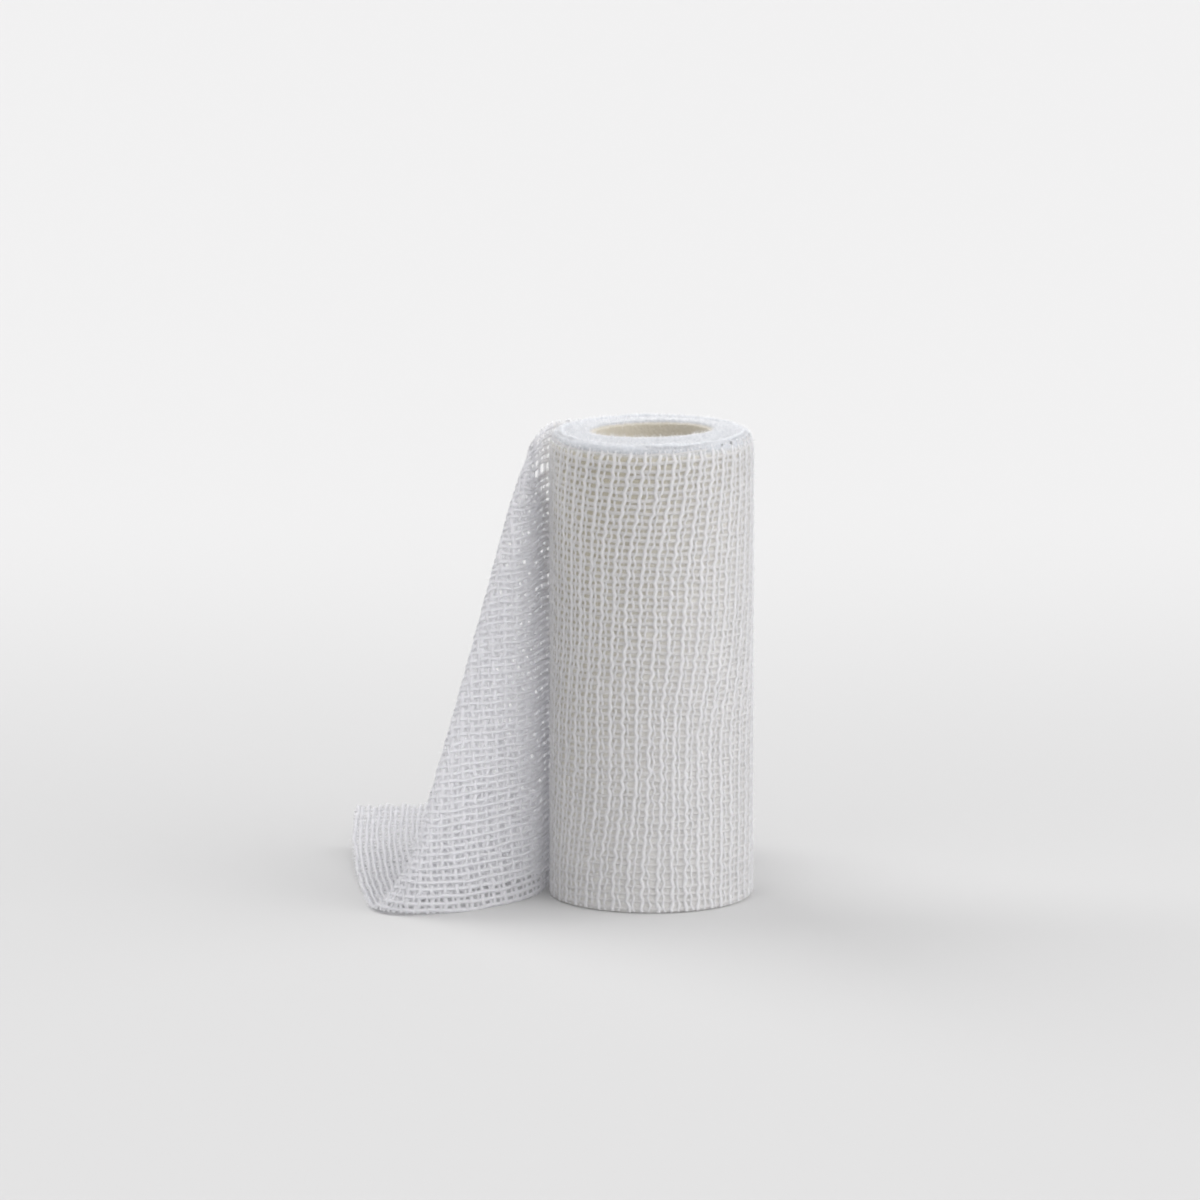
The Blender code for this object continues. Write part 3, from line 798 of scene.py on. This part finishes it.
@dataclass(frozen=True)
class CottonYarn:
    """Bleached cotton yarn, loosely spun: matt white with soft fibres.

    name: the material's name. light, shade: hex colours of the fibres and of the dips between them; the
    darker dips are painted shade.
    ply: millimetres between two turns of the twist. relief: depth of the fibres. glow: how much light
    passes through it.
    """

    name: str
    light: str
    shade: str
    ply: float = 3.0
    relief: float = 0.8
    glow: float = 0.45
    fibre_scale: float = 4500.0                # changes in a metre, of the fibres
    patch_scale: float = 240.0                 # and of the broader unevenness
    ply_share: float = 0.4
    patch_share: float = 0.8
    shade_range: tuple = (0.4, 1.4)            # of that height, from shade to light
    bump: float = 0.1                          # height of the relief in millimetres

    def material(self) -> Material:
        """Build the material: a twisted ply along each thread, broken up by fine fibres."""
        material, shader = start_material(self.name, {
            "Roughness": 0.9, "Specular IOR Level": 0.25, "Sheen Weight": 0.15})
        tree = material.node_tree
        add = partial(add_node, tree)
        along = add("ShaderNodeAttribute", attribute_name="along")
        around = add("ShaderNodeAttribute", attribute_name="around")
        turns = add("ShaderNodeMath", {0: along.outputs["Fac"], 1: 1 / (self.ply * MM)}, operation="MULTIPLY")
        spiral = add("ShaderNodeMath", {0: around.outputs["Fac"], 1: turns}, operation="ADD")
        angle = add("ShaderNodeMath", {0: spiral, 1: 4 * math.pi}, operation="MULTIPLY")
        ply = add("ShaderNodeMath", {0: angle}, operation="SINE")
        place = add("ShaderNodeTexCoord")
        fibre = add("ShaderNodeTexNoise", {"Vector": place.outputs["Object"], "Scale": self.fibre_scale,
                    "Detail": 3.0, "Roughness": 0.6})
        patches = add("ShaderNodeTexNoise", {"Vector": place.outputs["Object"], "Scale": self.patch_scale,
                      "Detail": 3.0})
        height = add("ShaderNodeMath", {0: ply, 1: self.ply_share, 2: fibre}, operation="MULTIPLY_ADD")
        blend = add("ShaderNodeMath", {0: patches, 1: self.patch_share, 2: height}, operation="MULTIPLY_ADD")
        # The colour follows the height of the twist and the fibres, so their dips get painted shade; the
        # broad patches are uneven tone.
        shares = add("ShaderNodeMapRange", {"Value": blend, "From Min": self.shade_range[0],
                     "From Max": self.shade_range[1]})
        colour = add("ShaderNodeMix", {"Factor": shares, "A": linear(self.shade), "B": linear(self.light)},
                     data_type="RGBA")
        tree.links.new(colour.outputs["Result"], shader.inputs["Base Color"])
        bump = add("ShaderNodeBump", {"Height": height, "Strength": self.relief, "Distance": self.bump * MM})
        tree.links.new(bump.outputs[0], shader.inputs["Normal"])
        through = add("ShaderNodeBsdfTranslucent", {"Color": colour.outputs["Result"]})
        both = add("ShaderNodeMixShader", {0: self.glow, 1: shader, 2: through})
        tree.links.new(both.outputs[0], tree.nodes["Material Output"].inputs["Surface"])
        return material


@dataclass(frozen=True)
class PackedTurns:
    """The same gauze packed in the roll: a felt-like pale end of selvedges and a cream bore.

    face, side, far_side, bore: hex colours of the ends, of what shows between the outer threads at the
    lower right and at the upper left, and of the bore. The gradient of the sides is painted light and
    shade, pale at the lower right and darker to the upper left, and it stays in the colour under any light.
    The gradient of the sides meets the photo's tones, whose cause isn't known, and it stays in the colour
    under any light.
    """

    name: str
    face: str
    side: str
    far_side: str
    bore: str
    bore_from: float = 12.7              # radii between which the bore's colour gives way
    bore_to: float = 13.4
    face_from: float = 97.4              # and heights between which the end's colour sets in
    face_to: float = 99.2
    far_way: tuple = (-0.9, 0.0, 0.4)    # the way in which the painted shade darkens the sides, to the upper left
    near_to: float = 0.0                 # millimetres along it up to which they have the pale colour
    far_from: float = 50.0               # and past which they have the dark one
    felt_scale: float = 1900.0           # changes in a metre, of the felted fibres
    patch_scale: float = 160.0           # and of the broader mottle
    darkest: float = 0.93                # of either, as a share of the colour
    relief: float = 0.9
    bump: float = 0.25                   # height of the relief in millimetres

    def material(self) -> Material:
        """Build the material, coloured by where on the roll it is and broken up by felted fibres."""
        material, shader = start_material(self.name, {
            "Roughness": 0.95, "Specular IOR Level": 0.2, "Sheen Weight": 0.2, "Subsurface Weight": 0.6,
            "Subsurface Radius": (1.0, 1.0, 1.0), "Subsurface Scale": 1.5 * MM})
        tree = material.node_tree
        add = partial(add_node, tree)
        place = add("ShaderNodeTexCoord")
        centred = add("ShaderNodeMapping", {"Vector": place.outputs["Object"],
                      "Location": [-c * MM for c in AXIS]})
        parts = add("ShaderNodeSeparateXYZ", {0: centred})
        flat = add("ShaderNodeCombineXYZ", {0: parts, 1: parts.outputs[1], 2: 0.0})
        radius = add("ShaderNodeVectorMath", {0: flat}, operation="LENGTH")
        fuzz = add("ShaderNodeTexNoise", {"Vector": place.outputs["Object"], "Scale": self.felt_scale,
                   "Detail": 4.0, "Roughness": 0.65})
        patches = add("ShaderNodeTexNoise", {"Vector": place.outputs["Object"], "Scale": self.patch_scale,
                      "Detail": 3.0})
        upper = add("ShaderNodeMapRange", {"Value": parts.outputs[2],
                    "From Min": self.face_from * MM, "From Max": self.face_to * MM},
                    interpolation_type="SMOOTHSTEP")
        # Painted light and shade: the sides grow darker towards the upper left and stay pale at the lower
        # right.
        leaning = add("ShaderNodeVectorMath", {0: centred, 1: self.far_way}, operation="DOT_PRODUCT")
        far = add("ShaderNodeMapRange", {"Value": leaning.outputs["Value"], "From Min": self.near_to * MM,
                  "From Max": self.far_from * MM}, interpolation_type="SMOOTHSTEP")
        between = add("ShaderNodeMix", {"Factor": far, "A": linear(self.side), "B": linear(self.far_side)},
                      data_type="RGBA")
        outer = add("ShaderNodeMix", {"Factor": upper, "A": between.outputs["Result"],
                    "B": linear(self.face)}, data_type="RGBA")
        inside = add("ShaderNodeMapRange", {"Value": radius.outputs["Value"],
                     "From Min": self.bore_from * MM, "From Max": self.bore_to * MM},
                     interpolation_type="SMOOTHSTEP")
        body = add("ShaderNodeMix", {"Factor": inside, "A": linear(self.bore), "B": outer.outputs["Result"]},
                   data_type="RGBA")
        # The mottle is uneven tone; the grain darkens the colour where the felt's bump dips, which is painted
        # shade.
        span = {"From Min": 0.3, "From Max": 0.7, "To Min": self.darkest, "To Max": 1.0}
        mottle = add("ShaderNodeMapRange", {"Value": patches, **span})
        grain = add("ShaderNodeMapRange", {"Value": fuzz, **span})
        both = add("ShaderNodeMath", {0: mottle, 1: grain}, operation="MULTIPLY")
        toned = add("ShaderNodeVectorMath", {0: body.outputs["Result"], "Scale": both}, operation="SCALE")
        tree.links.new(toned.outputs[0], shader.inputs["Base Color"])
        bump = add("ShaderNodeBump", {"Height": fuzz, "Strength": self.relief, "Distance": self.bump * MM})
        tree.links.new(bump.outputs[0], shader.inputs["Normal"])
        return material


@dataclass(frozen=True)
class PaintedBoard:
    """A matt painted studio board: a smooth pale grey, darker in front and paler towards the back, which is
    painted light.
    """

    name: str = "matt painted board"
    far: str = "CCCCCC"
    near: str = "C0C0C0"
    near_to: float = 60.0       # millimetres behind the roll's middle to which it is the near tone
    far_from: float = 460.0

    def material(self) -> Material:
        """Build the material: nearly even, with painted light that makes it a little paler towards the back.
        """
        material, shader = start_material(self.name, {"Roughness": 0.9, "Specular IOR Level": 0.1})
        tree = material.node_tree
        add = partial(add_node, tree)
        place = add("ShaderNodeTexCoord")
        parts = add("ShaderNodeSeparateXYZ", {0: place.outputs["Object"]})
        # Painted light: the board grows paler with depth behind the roll.
        depth = add("ShaderNodeMapRange", {"Value": parts.outputs[1], "From Min": self.near_to * MM,
                    "From Max": self.far_from * MM}, interpolation_type="SMOOTHSTEP")
        colour = add("ShaderNodeMix", {"Factor": depth, "A": linear(self.near), "B": linear(self.far)},
                     data_type="RGBA")
        tree.links.new(colour.outputs["Result"], shader.inputs["Base Color"])
        return material


# ---------------------------------------------------------------- the sub-assemblies

@dataclass
class WoundRoll:
    """The roll: its packed turns, the outer turn of open weave over them, and its soft upper rim."""

    weave: Weave
    winding: Winding
    spinner: Spinner
    yarn: Material
    shaded_yarn: Material    # of the lengthwise threads: the same yarn made greyer, painted shade, so that the ribs stand out
    packed: Material
    fuzz: Fuzz
    bore_radius: float = 12.35
    packed_radius: float = 21.50
    packed_turns: float = 29.69     # the inner end is at the front of the bore
    turn_height: float = 100.2
    overlap: float = 0.04           # of each packed turn with the next, which closes them
    stand: float = 0.05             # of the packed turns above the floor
    turn_points: int = 110          # round one turn
    seeds: dict = field(default_factory=lambda: {"turns": 9, "felt": 40, "net": 42})
    unevenness: float = 0.55        # of their upper edges
    outer_edge: float = 2.4         # breadth of the outer edge that is rounded off
    outer_drop: float = 1.6
    lip: float = 1.3                # and of the bore's lip
    lip_drop: float = 0.7
    dome_span: tuple = (14.0, 20.0)    # radii between which the dome falls away
    edge_scale: float = 700.0       # changes in a metre, of the unevenness
    corner: float = 0.14            # radius of a turn's corners
    dome: float = 0.55              # how far the inner turns stand up beyond the outer ones
    tilt: tuple = (0.02, -0.033)    # and how much more so at the front right
    rim_height: float = 98.4
    rim_depth: float = 3.6
    rim_thickness: float = 2.4
    rim_inset: float = 1.42         # from the middle of the threads to the middle of the rim
    rim_turns: int = 2
    rim_points: int = 600
    rim_corners: int = 12
    rim_step: float = 0.3           # how much higher and further in its inner turn lies
    rim_drifts: tuple = ((0.1, Drift(31, 8, 30)), (0.12, Drift(32, 10, 40)))    # aside and in height
    fibres_each: float = 1.5        # loose fibres on a square millimetre of thread
    felt_fibres_each: float = 7.0   # and of the upper end
    fibres_from: float = 98.4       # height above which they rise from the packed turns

    def turns_tree(self) -> tuple[NodeTree, dict]:
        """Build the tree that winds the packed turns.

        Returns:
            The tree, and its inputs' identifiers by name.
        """
        tree, sockets = start_tree("packed turns", {
            "Seat": "Geometry", "Inner Radius": "Float", "Outer Radius": "Float", "Turns": "Float",
            "Height": "Float", "Thickness": "Float", "Unevenness": "Float", "Dome": "Float", "Tilt": "Vector",
            "Centre": "Vector", "End Angle": "Float", "Seed": "Int", "Finish": "Material"})
        add = partial(add_node, tree)
        given = add("NodeGroupInput").outputs
        spiral = add("GeometryNodeCurveSpiral", {"Resolution": self.turn_points, "Rotations": given["Turns"],
                     "Start Radius": given["Inner Radius"], "End Radius": given["Outer Radius"],
                     "Height": 0.0, "Reverse": False})
        all_round = add("ShaderNodeMath", {0: given["Turns"], 1: -2 * math.pi, 2: given["End Angle"]},
                        operation="MULTIPLY_ADD")
        turned = add("ShaderNodeCombineXYZ", {2: all_round})
        started = add("GeometryNodeTransform", {"Geometry": spiral, "Rotation": turned})
        upright = add("GeometryNodeSetCurveNormal", {"Curve": started}, mode="Z_UP")
        outline = add("GeometryNodeCurvePrimitiveQuadrilateral", {"Width": given["Thickness"],
                      "Height": given["Height"]}, mode="RECTANGLE")
        rounded = add("GeometryNodeFilletCurve", {"Curve": outline, "Radius": self.corner * MM, "Count": 2,
                      "Limit Radius": True}, mode="POLY")
        wound = add("GeometryNodeCurveToMesh", {"Curve": upright, "Profile Curve": rounded,
                    "Fill Caps": True})
        place = add("GeometryNodeInputPosition")
        parts = add("ShaderNodeSeparateXYZ", {0: place})
        level = add("ShaderNodeCombineXYZ", {0: parts, 1: parts.outputs[1], 2: 0.0})
        radius = add("ShaderNodeVectorMath", {0: level}, operation="LENGTH")
        rough = add("ShaderNodeTexNoise", {"Vector": level, "W": given["Seed"], "Scale": self.edge_scale,
                    "Detail": 3.0}, noise_dimensions="4D")
        centred = add("ShaderNodeMath", {0: rough, 1: 0.5}, operation="SUBTRACT")
        uneven = add("ShaderNodeMath", {0: centred, 1: given["Unevenness"]}, operation="MULTIPLY")
        outer_edge = add("ShaderNodeMath", {0: given["Outer Radius"], 1: self.outer_edge * MM},
                         operation="SUBTRACT")
        past = add("ShaderNodeMapRange", {"Value": radius.outputs["Value"], "From Min": outer_edge,
                   "From Max": given["Outer Radius"], "To Min": 0.0, "To Max": -self.outer_drop * MM},
                   interpolation_type="SMOOTHSTEP")
        lip_edge = add("ShaderNodeMath", {0: given["Inner Radius"], 1: self.lip * MM}, operation="ADD")
        lip = add("ShaderNodeMapRange", {"Value": radius.outputs["Value"], "From Min": given["Inner Radius"],
                  "From Max": lip_edge, "To Min": -self.lip_drop * MM, "To Max": 0.0},
                  interpolation_type="SMOOTHSTEP")
        leaning = add("ShaderNodeVectorMath", {0: level, 1: given["Tilt"]}, operation="DOT_PRODUCT")
        proud = add("ShaderNodeMath", {0: leaning.outputs["Value"], 1: given["Dome"]}, operation="ADD")
        inner_share = add("ShaderNodeMapRange", {"Value": radius.outputs["Value"],
                          "From Min": self.dome_span[0] * MM, "From Max": self.dome_span[1] * MM,
                          "To Min": 1.0, "To Max": 0.0}, interpolation_type="SMOOTHSTEP")
        raised = add("ShaderNodeMath", {0: proud, 1: inner_share, 2: past}, operation="MULTIPLY_ADD")
        drop = add("ShaderNodeMath", {0: raised, 1: lip}, operation="ADD")
        shift = add("ShaderNodeMath", {0: drop, 1: uneven}, operation="ADD")
        is_top = add("ShaderNodeMath", {0: parts.outputs[2], 1: 0.0}, operation="GREATER_THAN")
        top_shift = add("ShaderNodeMath", {0: shift, 1: is_top}, operation="MULTIPLY")
        offset = add("ShaderNodeCombineXYZ", {2: top_shift})
        moved = add("GeometryNodeSetPosition", {"Geometry": wound, "Offset": offset})
        set_down = add("GeometryNodeTransform", {"Geometry": moved, "Translation": given["Centre"]})
        end_tree(tree, set_down, given["Finish"])
        return tree, sockets

    def packed_mesh(self) -> Mesh:
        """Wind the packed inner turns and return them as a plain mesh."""
        tree, sockets = self.turns_tree()
        pitch = (self.packed_radius - self.bore_radius) / (self.packed_turns + 0.5)
        return run_tree(tree, sockets, bpy.data.meshes.new("seat"), {
            "Inner Radius": (self.bore_radius + pitch / 2) * MM,
            "Outer Radius": (self.packed_radius - pitch / 2) * MM, "Turns": self.packed_turns,
            "Height": self.turn_height * MM, "Thickness": (pitch + self.overlap) * MM,
            "Unevenness": self.unevenness * MM, "Dome": self.dome * MM, "Tilt": [*self.tilt, 0.0],
            "Centre": [AXIS[0] * MM, AXIS[1] * MM, (self.turn_height / 2 + self.stand) * MM],
            "End Angle": self.winding.leaves_at, "Seed": self.seeds["turns"], "Finish": self.packed})

    def outer_nets(self) -> list[Object]:
        """Lay the threads of the outer turn: one piece of cross threads and one of lengthwise ones."""
        pieces = []
        first, last = -PAIRS_ROUND, 0
        cross = [self.spinner.spin(*self.weave.cross_threads(first, last, kind, self.winding),
                                   WOUND_YARNS[kind], self.yarn) for kind in (Kind.BOLD, Kind.THIN)]
        pieces.append(make_piece("outer_turn_ribs", cross))
        lengthwise = self.weave.lengthwise_threads(first, last, 0.0, self.winding)
        threads = self.spinner.spin(*lengthwise, WOUND_YARNS[Kind.LENGTHWISE], self.shaded_yarn)
        pieces.append(make_piece("outer_turn_threads", [threads]))
        return pieces

    def rim(self) -> Object:
        """Roll the upper selvedges into the soft rim that closes under the net's top."""
        s = np.linspace(-self.winding.turn * self.rim_turns, 0, self.rim_points)[None, :]
        angle = self.winding.leaves_at + s * (2 * math.pi / self.winding.turn)
        inwards = -s / self.winding.turn
        aside, level = (size * drift.at(s, 0 * s) for size, drift in self.rim_drifts)
        radius = self.winding.radius(s) - self.rim_inset - self.rim_step * inwards + aside
        height = self.rim_height + self.rim_step * inwards + level
        out = np.stack([np.cos(angle), np.sin(angle), 0 * angle], -1)
        points = out * radius[..., None]
        points[..., 2] = height
        size = Yarn(self.rim_depth, self.rim_thickness, self.rim_corners)
        return make_piece("roll_rim", [self.spinner.spin(points, out, size, self.packed)])

    def build(self) -> list[Object]:
        """Build the roll, which stands for the solid of the same name.

        Returns:
            Its pieces.
        """
        packed = make_piece("packed_turns", [self.packed_mesh()])
        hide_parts("roll")
        pieces = [packed, self.rim()] + self.outer_nets()
        net_fibres = [self.fuzz.raise_from(piece, self.fibres_each, seed, self.yarn)
                      for seed, piece in enumerate(pieces[2:], self.seeds["net"])]
        felt_fibres = [self.fuzz.raise_from(piece, self.felt_fibres_each, seed, self.yarn, self.fibres_from)
                       for seed, piece in enumerate(pieces[:2], self.seeds["felt"])]
        pieces += [make_piece("roll_fibres", net_fibres), make_piece("face_fibres", felt_fibres)]
        return pieces


@dataclass
class LooseEnd:
    """The loose end: one layer of the open weave, folded over and laid out."""

    weave: Weave
    winding: Winding
    spinner: Spinner
    yarn: Material
    fuzz: Fuzz
    pairs: int = 39
    fray: float = 0.7      # how unevenly the lengthwise threads end at the cut
    fibres_each: float = 0.95
    seed: int = 60

    def build(self) -> Object:
        """Lay the loose end's threads, which stand for the solid named tail.

        Returns:
            The piece.
        """
        meshes = [self.spinner.spin(*self.weave.cross_threads(0, self.pairs + 1, kind, self.winding),
                                    LOOSE_YARNS[kind], self.yarn) for kind in (Kind.BOLD, Kind.THIN)]
        lengthwise = self.weave.lengthwise_threads(0, self.pairs + 1, self.fray, self.winding)
        meshes.append(self.spinner.spin(*lengthwise, LOOSE_YARNS[Kind.LENGTHWISE], self.yarn))
        net = make_piece("loose_end", meshes)
        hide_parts("tail")
        raised = self.fuzz.raise_from(net, self.fibres_each, self.seed, self.yarn)
        fibres = make_piece("loose_end_fibres", [raised])
        return net


@dataclass
class Studio:
    """A plain pale floor, broad lamps from the front, the right and behind, and the camera."""

    aim: tuple = (10.474, -15.533, 63.7)
    distance: float = 2200.0
    elevation: float = 10.6
    lens: float = 309.5
    sky: tuple = (0.10, 0.68)                      # away from the bright side, and towards it
    bright_side: tuple = (1.0, 0.0, 0.0)
    bounces: int = 12                              # light goes through several layers of thread
    softness: float = 2.2                          # of the picture, in pixels
    # name, compass angle from X towards Y, height, breadth, strength
    lamps: tuple = (("broad lamp high in front", -72.0, 50.0, 120.0, 2.3),
                    ("broad lamp on the right", -8.0, 20.0, 80.0, 1.15),
                    ("broad lamp overhead", 60.0, 84.0, 70.0, 0.15),
                    ("broad lamp behind on the left", 140.0, 36.0, 50.0, 1.85))

    def floor(self) -> None:
        """Lay the floor, which is not part of the bandage."""
        mesh = bpy.data.meshes.new("floor")
        half, below = 4.0, -0.00005
        corners = ((-half, -half), (half, -half), (half, half), (-half, half))
        mesh.from_pydata([(x, y, below) for x, y in corners], [], [(0, 1, 2, 3)])
        mesh.materials.append(PaintedBoard().material())
        floor = add_object("floor", mesh)

    def light(self) -> None:
        """Hang the broad lamps and light the room, more so from its bright side."""
        world = bpy.data.worlds.new("studio")
        world.use_nodes = True
        tree = world.node_tree
        add = partial(add_node, tree)
        way = add("ShaderNodeTexCoord")
        towards = add("ShaderNodeVectorMath", {0: way.outputs["Generated"], 1: self.bright_side},
                      operation="DOT_PRODUCT")
        strength = add("ShaderNodeMapRange", {"Value": towards.outputs["Value"], "From Min": -1.0,
                       "From Max": 1.0, "To Min": self.sky[0], "To Max": self.sky[1]})
        background = tree.nodes["Background"]
        background.inputs["Color"].default_value = linear("FAFBFF")
        tree.links.new(strength.outputs[0], background.inputs["Strength"])
        bpy.context.scene.world = world
        bpy.context.scene.view_settings.view_transform = "Standard"
        bpy.context.scene.cycles.diffuse_bounces = self.bounces
        bpy.context.scene.cycles.filter_width = self.softness
        for name, azimuth, elevation, spread, power in self.lamps:
            lamp = bpy.data.lights.new(name, "SUN")
            lamp.energy, lamp.angle = power, math.radians(spread)
            lamp.color = linear("FFFEFD")[:3]
            holder = add_object(name, lamp)
            holder.rotation_euler = (math.radians(90 - elevation), 0, math.radians(azimuth + 90))

    def camera(self) -> None:
        """Set up the camera that sees the whole frame."""
        lens = bpy.data.cameras.new("camera")
        lens.lens, lens.sensor_width, lens.clip_end = self.lens, 36.0, 20.0
        holder = add_object("camera", lens)
        tilt = math.radians(self.elevation)
        holder.location = (self.aim[0] * MM, (self.aim[1] - self.distance * math.cos(tilt)) * MM,
                           (self.aim[2] + self.distance * math.sin(tilt)) * MM)
        holder.rotation_euler = (math.pi / 2 - tilt, 0, 0)
        bpy.context.scene.camera = holder

    def build(self) -> None:
        """Set the studio up."""
        self.camera()
        self.floor()
        self.light()


def main() -> None:
    """Build the bandage and its studio."""
    logging.basicConfig(level=logging.INFO, format="%(name)s: %(message)s")
    white = CottonYarn("woven bleached cotton yarn", "FDFDFE", "F4F4F6").material()
    # This is the same cotton yarn made greyer: painted shade where the lengthwise threads lie lower than the
    # ribs, so that the ribs stand out. The yarn is greyer so that the ribs stand out, as in the photo.
    grey = CottonYarn("woven cotton yarn in painted shade", "F4F3F3", "E6E5E4").material()
    packed = PackedTurns("packed cotton gauze", "C6C9CE", "F7F6F3", "C6BFAC", "CEC7B8").material()
    weave, winding, spinner, fuzz = Weave(), Winding(), Spinner(), Fuzz()
    WoundRoll(weave, winding, spinner, white, grey, packed, fuzz).build()
    # The loose end is the same strip. Its yarn is whiter and more translucent here to meet the photo's tones.
    # Its yarn is a whiter copy of the roll's, which is painted light, and it is more translucent.
    lit_yarn = CottonYarn("woven bleached cotton yarn, painted lighter", "FEFEFF", "FBFBFD", glow=0.68).material()
    LooseEnd(weave, winding, spinner, lit_yarn, fuzz).build()
    Studio().build()


if __name__ == "__main__":
    main()
